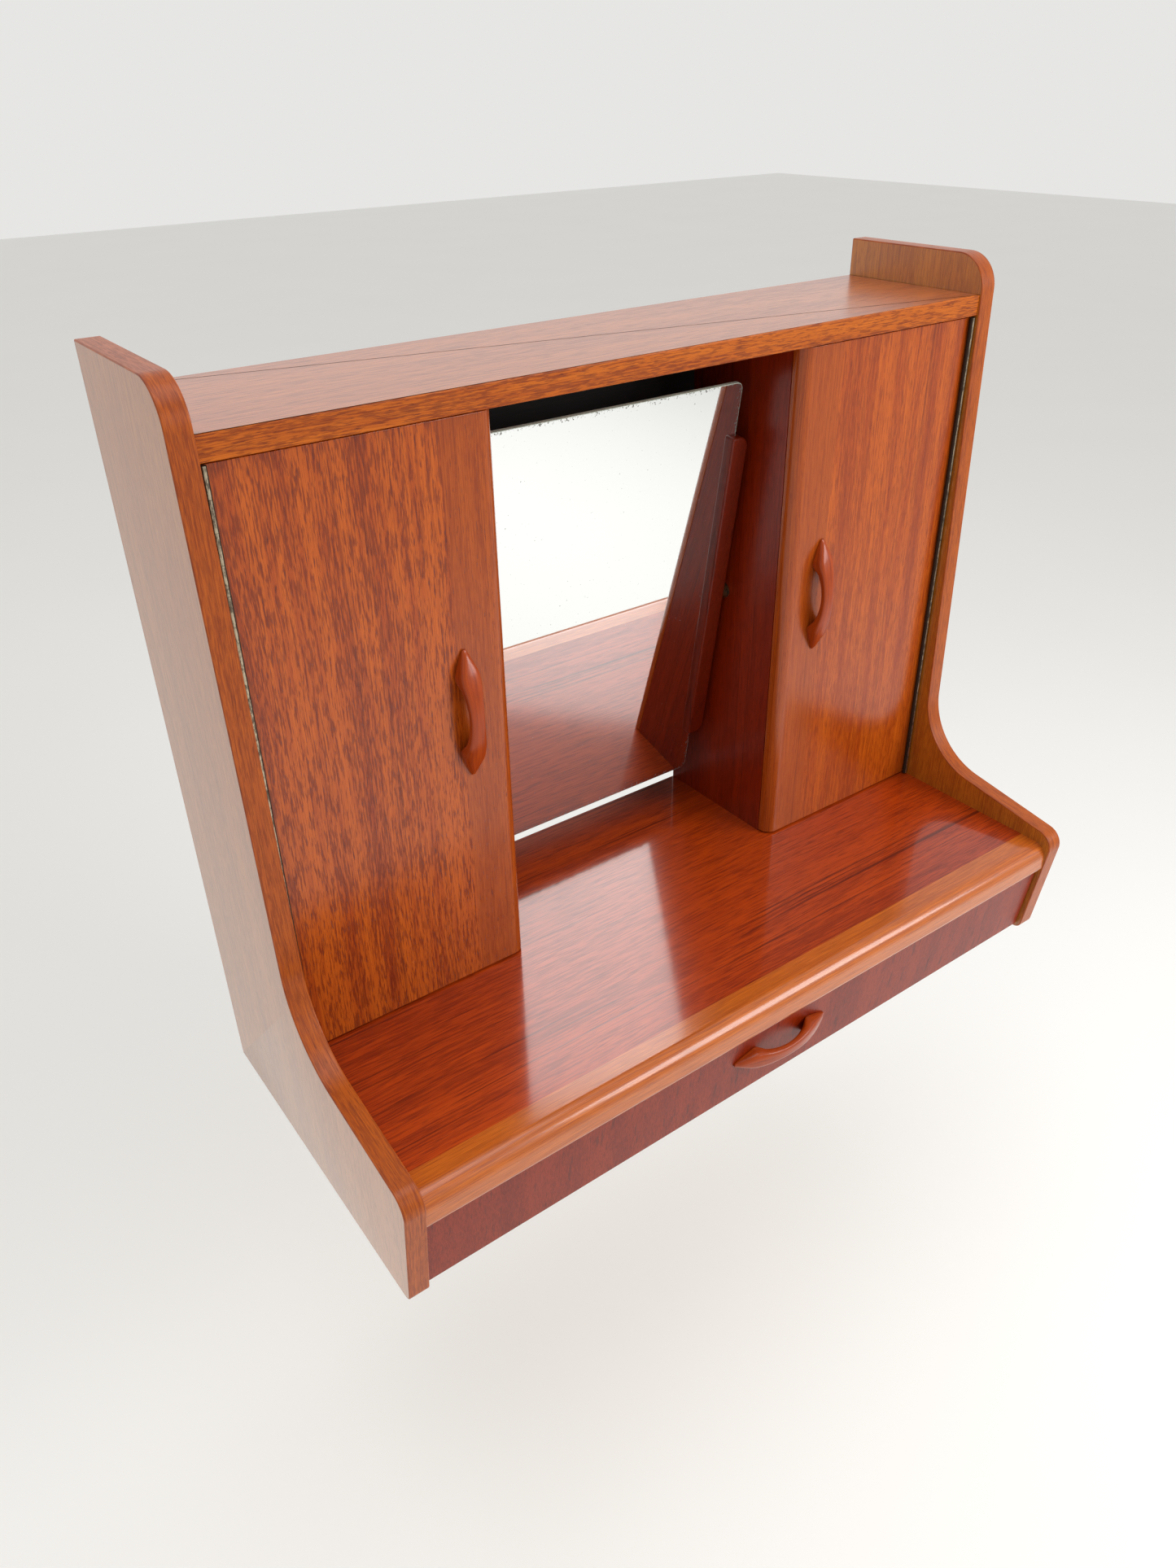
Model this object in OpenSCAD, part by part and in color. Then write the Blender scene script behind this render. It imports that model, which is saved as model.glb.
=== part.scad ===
// Wall-hung vanity with a tilting mirror, two hinged cupboards and one wide drawer.
// The frame's origin is midway between the two wall screws, on the wall plane.
// X runs to the right, Y runs back into the wall, Z runs up.

/* [Overall size] */
// Width over the outer faces of the two side panels
body_w = 900; // [800:10:1100]
// Height of the side panels above the desk surface
side_above_desk = 636; // [560:2:760]
// Height of the side panels below the desk surface
side_below_desk = 133; // [130:1:170]
// Depth of the side panels at their top edge
top_depth = 187.5; // [170:0.5:225]
// Depth of the side panels at desk level, measured to the unrounded corner
desk_depth = 409.5; // [370:0.5:490]

/* [Side panels] */
// Thickness of a side panel
side_t = 21; // [18:1:26]
// How far the straight front edge leans forward towards its foot, in degrees
front_lean = 1.56; // [0:0.02:3]
// Fall of the flare towards the front, in degrees
flare_fall = 9.2; // [5:0.1:12]
// Height of the unrounded desk corner above the desk surface
desk_corner_rise = 13; // [8:1:20]
// Backward slant of the lower front edge, in degrees
front_slant = 7.4; // [4:0.1:10]
// Radius of the hollow between the upright edge and the flare
flare_r = 90; // [60:1:95]
// Radius of the top front corner
top_corner_r = 36; // [10:1:50]
// Radius of the front corner at desk level
desk_corner_r = 21; // [8:1:30]
// Radius of the lowest front corner
foot_corner_r = 10; // [3:1:18]

/* [Top shelf] */
// Height of the side panels above the shelf surface
shelf_drop = 39; // [25:1:60]
// Thickness of the shelf
shelf_t = 21; // [16:1:25]
// Setback of the shelf's front edge from the side panels' edge
shelf_setback = 2; // [1:0.5:5]

/* [Desk] */
// Thickness of the desk board
desk_t = 21; // [16:1:25]
// Height of the solid front lipping
lipping_h = 38; // [30:1:42]
// Width of the lipping from its front to its joint with the board
lipping_w = 36; // [30:1:50]
// Setback of the lipping from the side panels' front corner
lipping_setback = 7; // [4:1:12]
// Radius of the lipping's upper front edge
lipping_top_r = 17; // [8:1:20]
// Radius of the lipping's lower front edge
lipping_foot_r = 9; // [3:1:12]

/* [Cupboards] */
// Clear width of the niche between the dividers
niche_w = 356; // [330:2:380]
// Thickness of a divider
divider_t = 16; // [14:1:18]
// Thickness of a door
door_t = 16; // [14:1:20]
// Setback of the door faces from the shelf's front edge
door_setback = 6; // [5:0.5:10]
// Radius of the door's free vertical edge
door_edge_r = 14; // [6:1:14]
// Gap above and below a door
door_gap = 2; // [1.5:0.5:3]
// Gap between a door's back and the divider's front edge
door_rest_gap = 0.5; // [0.4:0.1:1]
// Thickness of the cupboard backs
back_t = 5; // [4:1:8]
// Thickness of a loose shelf
loose_shelf_t = 16; // [12:1:18]
// Height of the loose shelves above the desk surface
loose_shelf_rise = 285; // [200:5:380]
// Side play of a loose shelf
loose_shelf_play = 1; // [0.5:0.5:2]
// Radius of a shelf pin
shelf_pin_r = 2.45; // [2:0.05:3]
// Depth of a shelf pin's hole
shelf_pin_hole = 9; // [7:1:10]
// How far a shelf pin stands out
shelf_pin_reach = 8; // [6:1:10]

/* [Wall rails] */
// Height of the hanging rails
rail_h = 70; // [60:2:90]
// Thickness of the hanging rails
rail_t = 18; // [15:1:20]
// Distance between the two wall screw holes
wall_hole_spacing = 600; // [560:10:640]
// Radius of a wall screw hole
wall_hole_r = 3; // [2.5:0.5:4]
// Height of the lower back rail
lower_rail_h = 80; // [60:5:90]
// Thickness of the lower back rail
lower_rail_t = 16; // [12:1:18]

/* [Piano hinges] */
// Number of knuckles on one hinge, an odd number
knuckle_count = 23; // [17:2:25]
// Outer radius of a knuckle
knuckle_r = 2.75; // [2.5:0.05:3]
// Radius of the hinge pin
hinge_pin_r = 1.25; // [1:0.05:1.4]
// Running clearance round the hinge pin
hinge_pin_play = 0.05; // [0.02:0.01:0.1]
// Gap between neighbouring knuckles
knuckle_gap = 0.3; // [0.3:0.1:0.5]
// Thickness of a hinge leaf
leaf_t = 0.9; // [0.8:0.1:1]
// Width of a hinge leaf's plate
leaf_w = 13.5; // [12:0.5:14]
// Number of screws in a hinge leaf
hinge_screws = 8; // [5:1:9]

/* [Handles] */
// Length of a bow handle
handle_l = 130; // [100:2:150]
// Half the width that the handle's leaf outline has before it is waisted
handle_half_w = 16; // [14:0.5:18]
// Half the width of the handle's waist
handle_waist = 7; // [6:0.5:9]
// Radius of the curve that cuts the waist
handle_waist_r = 170; // [120:5:220]
// How far the handle stands out
handle_reach = 20; // [18:0.5:26]
// Thickness of the handle's tips
handle_tip_t = 3; // [2:0.5:4]
// Length of the finger gap
finger_gap_l = 72; // [60:2:80]
// Depth of the finger gap
finger_gap_d = 12; // [9:0.5:13]
// Distance from the niche to a door handle's middle line
handle_inset = 48; // [40:1:80]
// Height of the door handles' middle above the desk surface
handle_rise = 306; // [200:2:420]
// Distance between the two screws of a handle
handle_screw_spacing = 92; // [88:2:96]
// Radius of a handle screw
handle_screw_r = 1.9; // [1.5:0.1:2.1]

/* [Mirror] */
// Width of the mirror glass
glass_w = 309; // [280:1:312]
// Height of the mirror glass
glass_h = 494; // [440:2:500]
// Thickness of the mirror glass
glass_t = 5; // [4:0.5:6]
// Corner radius of the mirror glass
glass_corner_r = 8; // [4:1:14]
// Thickness of the backing board
backing_t = 3; // [3:0.5:4]
// Setback of the backing board from the edge of the glass
backing_setback = 3; // [2:1:5]
// Forward tilt of the mirror at rest, in degrees
mirror_tilt = 8.35; // [0:0.05:12]
// Height of the mirror pivot above the desk surface
pivot_rise = 292.4; // [285:0.1:300]
// Distance of the mirror pivot from the wall
pivot_depth = 81.7; // [78:0.1:95]
// Length of a mirror batten
batten_l = 380; // [300:2:420]
// Width of a mirror batten
batten_w = 22; // [20:1:24]
// Depth of a mirror batten
batten_d = 21; // [20:1:24]
// Depth of the groove that holds the glass
groove_d = 8.5; // [6:0.5:10]
// Height of the batten's lip in front of the glass
batten_lip = 7; // [5:0.5:8]
// Radius of the battens' outer corners
batten_corner_r = 12; // [4:1:16]
// Play between the glass and the groove's floor
groove_play = 0.3; // [0.2:0.1:0.5]
// Radius of a pivot pin
pivot_pin_r = 3; // [2.5:0.1:3.5]
// Running clearance of a pivot pin in its bush
pivot_play = 0.05; // [0.02:0.01:0.1]
// Outer radius of a pivot bush
bush_r = 5; // [4.5:0.1:6]
// Length of a pivot bush inside its divider
bush_l = 10; // [8:1:12]
// Radius of the pivot collar and the bush's flange
collar_r = 9; // [8:0.5:11]
// Thickness of the bush's flange
flange_t = 1.5; // [1:0.5:2]

/* [Drawer] */
// Setback of the drawer front from the side panels' slanted edge
drawer_setback = 6; // [4:1:9]
// Thickness of the drawer front
drawer_front_t = 18; // [15:1:20]
// Gap over the drawer front
drawer_top_gap = 1.5; // [1:0.5:3]
// Height of the drawer front's lower edge above the side panels' lower edge
drawer_foot_rise = 6; // [4:1:10]
// Side gap of the drawer front
drawer_side_gap = 1.5; // [1:0.5:2]
// Thickness of the drawer sides and back
drawer_side_t = 14; // [12:1:15]
// Gap between the lipping and the drawer sides
drawer_box_gap = 6; // [4:1:10]
// Height of the drawer box
drawer_box_h = 78; // [70:2:80]
// Gap behind the drawer box
drawer_rear_gap = 14; // [8:1:30]
// Thickness of the drawer bottom
drawer_bottom_t = 5; // [4:1:6]
// Height of the drawer bottom above the drawer sides' lower edge
drawer_bottom_rise = 8; // [6:1:10]
// Depth of the grooves that hold the drawer bottom
bottom_groove_d = 4; // [3:0.5:4.5]
// Height of a drawer runner
runner_h = 16; // [12:1:18]
// How far a runner reaches into the drawer side
runner_reach = 7.5; // [6:0.5:8]
// Play round a runner
runner_play = 0.5; // [0.4:0.1:0.8]
// Height of the drawer handle's middle above the drawer front's lower edge
drawer_handle_rise = 57; // [40:1:60]

/* [Door catches] */
// Width of a catch body
catch_w = 40; // [30:2:50]
// Height of a catch body
catch_h = 12; // [10:1:14]
// Depth of a catch body
catch_d = 15; // [12:1:18]
// Gap between a catch and its strike plate
catch_gap = 0.4; // [0.3:0.1:0.6]
// Thickness of a strike plate
strike_t = 1; // [0.8:0.1:1.5]

/* [Hidden] */
$fn = 48;

teak = [0.66, 0.30, 0.12];
teak_light = [0.76, 0.45, 0.24];
teak_dark = [0.45, 0.14, 0.07];
pale_wood = [0.78, 0.62, 0.42];
stained = [0.05, 0.045, 0.04];
nickel = [0.74, 0.70, 0.62];
brass = [0.75, 0.58, 0.28];
silver = [0.80, 0.83, 0.84];

// Extra length that carries a cut past the surface it starts from
over = 1;
// Clearance round a screw in its hole
screw_play = 0.05;

// Widths, from the outside in
half_w = body_w / 2;
inner_x = half_w - side_t;
niche_x = niche_w / 2;
divider_outer_x = niche_x + divider_t;

// Heights, with the desk surface as the level that the others count from
shelf_top = side_above_desk - shelf_drop;
shelf_foot = shelf_top - shelf_t;
mount_rise = shelf_foot - rail_h / 2;
desk_z = -mount_rise;
rail_foot = shelf_foot - rail_h;

// Depths
lean = tan(front_lean);
fall = tan(flare_fall);
slant = tan(front_slant);
shelf_depth = top_depth + shelf_drop * lean - shelf_setback;
door_face_y = -(shelf_depth - door_setback);
door_back_y = door_face_y + door_t;
divider_front_y = door_back_y + door_rest_gap;
lipping_front_y = -(desk_depth - lipping_setback);
lipping_back_y = lipping_front_y + lipping_w;

// Hinges
door_foot = door_gap;
door_head = shelf_foot - door_gap;
door_h = door_head - door_foot;
knuckle_pitch = door_h / knuckle_count;
knuckle_wall_gap = 0.25;
knuckle_face_gap = 0.35;
hinge_x = inner_x - knuckle_wall_gap - knuckle_r;
hinge_y = door_face_y - knuckle_face_gap - knuckle_r;
door_edge_x = hinge_x + 0.3;
leaf_start_y = hinge_y + knuckle_r + 0.3;
hinge_screw_l = 13;
hinge_screw_r = 1.3;
hinge_screw_head_r = 2.5;

// Drawer, with its front face parallel to the slanted edge of the side panels
drawer_head = -(lipping_h + drawer_top_gap);
drawer_foot = -side_below_desk + drawer_foot_rise;
drawer_box_head = -(lipping_h + drawer_box_gap);
drawer_box_foot = drawer_box_head - drawer_box_h;
drawer_x = inner_x - drawer_side_gap;
drawer_rear_y = -(lower_rail_t + drawer_rear_gap);
drawer_front_run = drawer_front_t / cos(front_slant);
runner_mid = (drawer_box_head + drawer_box_foot) / 2;
runner_front_y = lipping_back_y + 4;
runner_rear_y = drawer_rear_y;
runner_screw_l = 20;
bottom_head = drawer_box_foot + drawer_bottom_rise + drawer_bottom_t;

// Mirror, measured from its pivot axis, with the glass in the middle of the batten's depth
glass_face = -batten_d / 2 + batten_lip;
glass_half_w = glass_w / 2;
batten_inner_x = glass_half_w - groove_d;
batten_outer_x = batten_inner_x + batten_w;
flange_x = niche_x - flange_t;
collar_play = 0.3;
pivot_pin_grip = 12;

// Catches
catch_x = divider_outer_x + 16;

function side_front_y(z) =
    z > desk_corner_rise
        ? -(top_depth + (side_above_desk - z) * lean)
        : -(desk_depth - (desk_corner_rise - z) * slant);

function drawer_face_y(z) = side_front_y(z) + drawer_setback;

function unit(v) = v / norm(v);

// Half the angle between the two edges that meet at p
function half_angle(a, p, b) = acos(unit(a - p) * unit(b - p)) / 2;

// Middle of the arc that rounds the corner p
function arc_middle(a, p, b, r) = p + unit(unit(a - p) + unit(b - p)) * r / sin(half_angle(a, p, b));

// Where that arc starts and ends, on the two edges of the corner
function arc_ends(a, p, b, r) =
    let (reach = r / tan(half_angle(a, p, b)))
    [p + unit(a - p) * reach, p + unit(b - p) * reach];

// Slice of a circle that fills the rounded corner p
module corner_slice(a, p, b, r) {
    m = arc_middle(a, p, b, r);
    ends = arc_ends(a, p, b, r);
    intersection() {
        translate(m) circle(r = r);
        polygon([for (q = [m, ends[0], p, ends[1]]) m + 2 * (q - m)]);
    }
}

// Flat shape with rounded corners, given anticlockwise as [across, up, radius]
module rounded(corners) {
    n = len(corners);
    p = [for (c = corners) [c[0], c[1]]];
    r = [for (c = corners) c[2]];
    before = [for (i = [0:n - 1]) p[(i + n - 1) % n]];
    after = [for (i = [0:n - 1]) p[(i + 1) % n]];
    bulge = [for (i = [0:n - 1]) cross(p[i] - before[i], after[i] - p[i])];
    difference() {
        union() {
            polygon([for (i = [0:n - 1]) each r[i] > 0 ? arc_ends(before[i], p[i], after[i], r[i]) : [p[i]]]);
            for (i = [0:n - 1])
                if (r[i] > 0 && bulge[i] > 0) corner_slice(before[i], p[i], after[i], r[i]);
        }
        for (i = [0:n - 1])
            if (r[i] > 0 && bulge[i] < 0)
                translate(arc_middle(before[i], p[i], after[i], r[i])) circle(r = r[i]);
    }
}

// Shape of a side panel: wall edge, top, upright edge, hollow, flare, slanted front and foot
module side_shape() {
    crook_y = -(top_depth + (side_above_desk - desk_corner_rise - desk_depth * fall) * lean)
        / (1 - fall * lean);
    crook_z = desk_corner_rise + (desk_depth + crook_y) * fall;
    rounded([
        [0, -side_below_desk, 0],
        [0, side_above_desk, 0],
        [-top_depth, side_above_desk, top_corner_r],
        [crook_y, crook_z, flare_r],
        [-desk_depth, desk_corner_rise, desk_corner_r],
        [side_front_y(-side_below_desk), -side_below_desk, foot_corner_r]
    ]);
}

// Draws the right-hand piece, or its mirror image on the left
module on_side(side) {
    if (side == "left") mirror([1, 0, 0]) children();
    else children();
}

// Block from its lowest to its highest corner, with heights counted from the desk surface
module block(low, high) {
    translate([low[0], low[1], low[2] + desk_z]) cube(high - low);
}

// Outline in the Y-Z plane carried along X from x0 to x1, heights from the desk surface
module across(x0, x1) {
    translate([x0, 0, desk_z]) rotate([90, 0, 90]) linear_extrude(x1 - x0) children();
}

// Rod along X, heights from the desk surface
module rod_x(x0, x1, y, z, r) {
    translate([x0, y, z + desk_z]) rotate([0, 90, 0]) cylinder(h = x1 - x0, r = r);
}

// Countersunk screw with its head at the origin and its point down, or the hole for it
module screw(length, shank_r, head_r, play = 0) {
    rotate_extrude() polygon([
        [0, 0],
        [head_r + play, 0],
        [shank_r + play, -(head_r - shank_r)],
        [shank_r + play, -length - play],
        [0, -length - play]
    ]);
}

/* Carcass */

module runner_screw_set(play = 0) {
    for (y = [runner_front_y + 25, (runner_front_y + runner_rear_y) / 2, runner_rear_y - 25])
        translate([inner_x - drawer_side_gap - runner_reach, y, runner_mid + desk_z])
            rotate([0, -90, 0]) screw(runner_screw_l, 1.6, 3.2, play);
}

module shelf_pin_set(play = 0) {
    for (y = [-32, divider_front_y + 42]) {
        rod_x(divider_outer_x - shelf_pin_hole - play, divider_outer_x + shelf_pin_reach,
            y, loose_shelf_rise - shelf_pin_r, shelf_pin_r + play);
        rod_x(inner_x - shelf_pin_reach, inner_x + shelf_pin_hole + play,
            y, loose_shelf_rise - shelf_pin_r, shelf_pin_r + play);
    }
}

module side_panel() {
    color(teak_light) difference() {
        across(inner_x, half_w) side_shape();
        hinge_frame_screw_set(screw_play);
        runner_screw_set(screw_play);
        shelf_pin_set(screw_play);
    }
}

module top_shelf() {
    color(teak_light) block([-inner_x, -shelf_depth, shelf_foot], [inner_x, 0, shelf_top]);
}

module desk_top() {
    color(teak) block([-inner_x, lipping_back_y, -desk_t], [inner_x, 0, 0]);
}

module desk_front_lipping() {
    color(teak_light) across(-inner_x, inner_x) rounded([
        [lipping_back_y, -lipping_h, 0],
        [lipping_back_y, 0, 0],
        [lipping_front_y, 0, lipping_top_r],
        [lipping_front_y, -lipping_h, lipping_foot_r]
    ]);
}

module divider() {
    color(teak_dark) difference() {
        block([niche_x, divider_front_y, 0], [divider_outer_x, 0, shelf_foot]);
        rod_x(niche_x - over, niche_x + bush_l, -pivot_depth, pivot_rise, bush_r);
        shelf_pin_set(screw_play);
    }
}

module cupboard_back() {
    color(pale_wood) block([divider_outer_x, -back_t, 0], [inner_x, 0, rail_foot]);
}

module hanging_rail() {
    color(pale_wood) difference() {
        block([divider_outer_x, -rail_t, rail_foot], [inner_x, 0, shelf_foot]);
        translate([wall_hole_spacing / 2, over, 0]) rotate([90, 0, 0])
            cylinder(h = rail_t + 2 * over, r = wall_hole_r);
    }
}

module centre_rail() {
    color(stained) block([-niche_x, -rail_t, rail_foot], [niche_x, 0, shelf_foot]);
}

module lower_back_rail() {
    color(pale_wood) block([-inner_x, -lower_rail_t, -desk_t - lower_rail_h], [inner_x, 0, -desk_t]);
}

module loose_shelf() {
    color(pale_wood) block(
        [divider_outer_x + loose_shelf_play, divider_front_y + 12, loose_shelf_rise],
        [inner_x - loose_shelf_play, -back_t - loose_shelf_play, loose_shelf_rise + loose_shelf_t]);
}

module shelf_pins() {
    color(brass) shelf_pin_set();
}

module drawer_runner() {
    color(pale_wood) difference() {
        block([inner_x - drawer_side_gap - runner_reach, runner_front_y, runner_mid - runner_h / 2],
            [inner_x, runner_rear_y, runner_mid + runner_h / 2]);
        runner_screw_set(screw_play);
    }
}

module runner_screws() {
    color(brass) for (side = ["left", "right"]) on_side(side) runner_screw_set();
}

module catch_body() {
    color("white") block(
        [catch_x, door_back_y + strike_t + catch_gap, shelf_foot - catch_h],
        [catch_x + catch_w, door_back_y + strike_t + catch_gap + catch_d, shelf_foot]);
}

module pivot_bush() {
    color(brass) difference() {
        union() {
            rod_x(flange_x, niche_x, -pivot_depth, pivot_rise, collar_r);
            rod_x(flange_x, niche_x + bush_l, -pivot_depth, pivot_rise, bush_r);
        }
        rod_x(flange_x - over, niche_x + bush_l + over, -pivot_depth, pivot_rise, pivot_pin_r + pivot_play);
    }
}

/* Piano hinges */

// Heights of the screws of one leaf, moved up by a share of the screw spacing
function hinge_screw_heights(shift) =
    [for (i = [0:hinge_screws - 1]) door_foot + door_h * (i + 0.4 + shift) / hinge_screws];

module hinge_frame_screw_set(play = 0) {
    for (z = hinge_screw_heights(0))
        translate([inner_x - leaf_t, leaf_start_y + leaf_w / 2, z + desk_z])
            rotate([0, -90, 0]) screw(hinge_screw_l, hinge_screw_r, hinge_screw_head_r, play);
}

module hinge_door_screw_set(play = 0) {
    for (z = hinge_screw_heights(0.2))
        translate([door_edge_x + leaf_t, leaf_start_y + leaf_w / 2, z + desk_z])
            rotate([0, 90, 0]) screw(hinge_screw_l, hinge_screw_r, hinge_screw_head_r, play);
}

// Lower and upper end of a knuckle, counted from the bottom
function knuckle_low(i) = door_foot + i * knuckle_pitch + (i == 0 ? 0 : knuckle_gap / 2);
function knuckle_high(i) =
    door_foot + (i + 1) * knuckle_pitch - (i == knuckle_count - 1 ? 0 : knuckle_gap / 2);

// One leaf: a plate that starts at plate_x, with every second knuckle, notched for the others
module hinge_leaf(first_knuckle, plate_x, tab_y, bore_r) {
    difference() {
        union() {
            block([plate_x, tab_y, door_foot], [plate_x + leaf_t, leaf_start_y + leaf_w, door_head]);
            for (i = [first_knuckle:2:knuckle_count - 1])
                translate([hinge_x, hinge_y, knuckle_low(i) + desk_z])
                    cylinder(h = knuckle_high(i) - knuckle_low(i), r = knuckle_r);
        }
        for (i = [1 - first_knuckle:2:knuckle_count - 1])
            block(
                [plate_x - over, tab_y - over, i == 0 ? door_foot - over : knuckle_high(i - 1)],
                [plate_x + leaf_t + over, leaf_start_y,
                    i == knuckle_count - 1 ? door_head + over : knuckle_low(i + 1)]);
        translate([hinge_x, hinge_y, door_foot - over + desk_z])
            cylinder(h = door_h + 2 * over, r = bore_r);
    }
}

module hinge_frame_leaf() {
    color(nickel) difference() {
        hinge_leaf(0, inner_x - leaf_t, hinge_y + 0.4, hinge_pin_r);
        hinge_frame_screw_set(screw_play);
    }
}

module hinge_door_leaf() {
    color(nickel) difference() {
        hinge_leaf(1, door_edge_x, hinge_y + knuckle_r - 0.8, hinge_pin_r + hinge_pin_play);
        hinge_door_screw_set(screw_play);
    }
}

module hinge_pin() {
    color(nickel) translate([hinge_x, hinge_y, door_foot + desk_z]) cylinder(h = door_h, r = hinge_pin_r);
}

module hinge_frame_screws() {
    color(nickel) hinge_frame_screw_set();
}

module hinge_door_screws() {
    color(nickel) hinge_door_screw_set();
}

/* Handles */

// Two pointed leaves joined by a waist, seen from the front
module handle_front() {
    lens_r = (pow(handle_l / 2, 2) + pow(handle_half_w, 2)) / (2 * handle_half_w);
    difference() {
        intersection_for (s = [-1, 1])
            translate([s * (lens_r - handle_half_w), 0]) circle(r = lens_r, $fn = 160);
        for (s = [-1, 1])
            translate([s * (handle_waist + handle_waist_r), 0]) circle(r = handle_waist_r, $fn = 120);
    }
}

// Bow with a finger gap, seen from the side, standing on the Y axis
module handle_side() {
    bow_rise = handle_reach - handle_tip_t;
    bow_r = (pow(handle_l / 2, 2) + pow(bow_rise, 2)) / (2 * bow_rise);
    gap_r = (pow(finger_gap_l / 2, 2) + pow(finger_gap_d, 2)) / (2 * finger_gap_d);
    difference() {
        intersection() {
            translate([handle_reach - bow_r, 0]) circle(r = bow_r, $fn = 160);
            translate([0, -handle_l]) square([handle_reach, 2 * handle_l]);
        }
        translate([finger_gap_d - gap_r, 0]) circle(r = gap_r, $fn = 120);
    }
}

// Bow handle lying along Y, with its feet on the X-Y plane and its bow up
module bow_handle() {
    color(teak) difference() {
        intersection() {
            linear_extrude(handle_reach) handle_front();
            translate([handle_half_w, 0, 0]) rotate([0, -90, 0])
                linear_extrude(2 * handle_half_w) handle_side();
        }
        handle_screw_pair(0, screw_play);
    }
}

// Two screws that come up through a panel of the given thickness into the handle's feet
module handle_screw_pair(panel_t, play = 0) {
    for (s = [-1, 1])
        translate([0, s * handle_screw_spacing / 2, -panel_t]) mirror([0, 0, 1])
            screw(panel_t + 6, handle_screw_r, handle_screw_r * 2, play);
}

// Places a handle, or what belongs to it, on the right door
module at_door_handle() {
    translate([niche_x + handle_inset, door_face_y, handle_rise + desk_z]) rotate([90, 0, 0]) children();
}

// Places a handle, or what belongs to it, on the slanted drawer front
module at_drawer_handle() {
    z = drawer_foot + drawer_handle_rise;
    translate([0, drawer_face_y(z), z + desk_z]) rotate([90 + front_slant, 0, 0]) rotate([0, 0, 90])
        children();
}

/* Doors */

module door() {
    color(teak) difference() {
        translate([0, 0, door_foot + desk_z]) linear_extrude(door_h) rounded([
            [niche_x, door_back_y, 0],
            [niche_x, door_face_y, door_edge_r],
            [door_edge_x, door_face_y, 0],
            [door_edge_x, door_back_y, 0]
        ]);
        hinge_door_screw_set(screw_play);
        at_door_handle() handle_screw_pair(door_t, screw_play);
    }
}

module door_handle() {
    at_door_handle() bow_handle();
}

module door_handle_screws() {
    color(brass) at_door_handle() handle_screw_pair(door_t);
}

module strike_plate() {
    color(nickel) block(
        [catch_x + 5, door_back_y, shelf_foot - catch_h + 1],
        [catch_x + catch_w - 5, door_back_y + strike_t, door_head - 1]);
}

/* Drawer */

module drawer_front() {
    color(teak) difference() {
        across(-drawer_x, drawer_x) polygon([
            [drawer_face_y(drawer_foot), drawer_foot],
            [drawer_face_y(drawer_foot) + drawer_front_run, drawer_foot],
            [drawer_face_y(drawer_head) + drawer_front_run, drawer_head],
            [drawer_face_y(drawer_head), drawer_head]
        ]);
        drawer_bottom();
        at_drawer_handle() handle_screw_pair(drawer_front_t, screw_play);
    }
}

// Side of the drawer box behind the slanted front, grooved for its runner and for the bottom
module drawer_side() {
    color(pale_wood) difference() {
        across(drawer_x - drawer_side_t, drawer_x) polygon([
            [drawer_face_y(drawer_box_foot) + drawer_front_run, drawer_box_foot],
            [drawer_rear_y, drawer_box_foot],
            [drawer_rear_y, drawer_box_head],
            [drawer_face_y(drawer_box_head) + drawer_front_run, drawer_box_head]
        ]);
        slot_half_h = runner_h / 2 + runner_play;
        block(
            [drawer_x - runner_reach - runner_play, runner_front_y - 2, runner_mid - slot_half_h],
            [drawer_x + over, drawer_rear_y + over, runner_mid + slot_half_h]);
        drawer_bottom();
    }
}

// Drawer bottom, held in grooves of the sides and of the slanted front
module drawer_bottom() {
    x = drawer_x - drawer_side_t + bottom_groove_d;
    foot = bottom_head - drawer_bottom_t;
    groove_run = drawer_front_run - bottom_groove_d;
    color(pale_wood) across(-x, x) polygon([
        [drawer_face_y(foot) + groove_run, foot],
        [drawer_rear_y, foot],
        [drawer_rear_y, bottom_head],
        [drawer_face_y(bottom_head) + groove_run, bottom_head]
    ]);
}

module drawer_back() {
    x = drawer_x - drawer_side_t;
    color(pale_wood) block(
        [-x, drawer_rear_y - drawer_side_t, bottom_head], [x, drawer_rear_y, drawer_box_head]);
}

module drawer_handle() {
    at_drawer_handle() bow_handle();
}

module drawer_handle_screws() {
    color(brass) at_drawer_handle() handle_screw_pair(drawer_front_t);
}

/* Mirror */

// Places what turns with the mirror, drawn upright round its pivot axis
module at_mirror() {
    translate([0, -pivot_depth, pivot_rise + desk_z]) rotate([mirror_tilt, 0, 0]) children();
}

// Upright sheet with rounded corners, from the depth y0 to y1
module sheet(w, h, r, y0, y1) {
    translate([0, y1, 0]) rotate([90, 0, 0]) linear_extrude(y1 - y0) rounded([
        [-w / 2, -h / 2, r],
        [w / 2, -h / 2, r],
        [w / 2, h / 2, r],
        [-w / 2, h / 2, r]
    ]);
}

module mirror_glass() {
    color(silver) at_mirror() sheet(glass_w, glass_h, glass_corner_r, glass_face, glass_face + glass_t);
}

module mirror_backing() {
    color(stained) at_mirror() sheet(glass_w - 2 * backing_setback, glass_h - 2 * backing_setback,
        glass_corner_r - backing_setback, glass_face + glass_t, glass_face + glass_t + backing_t);
}

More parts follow.
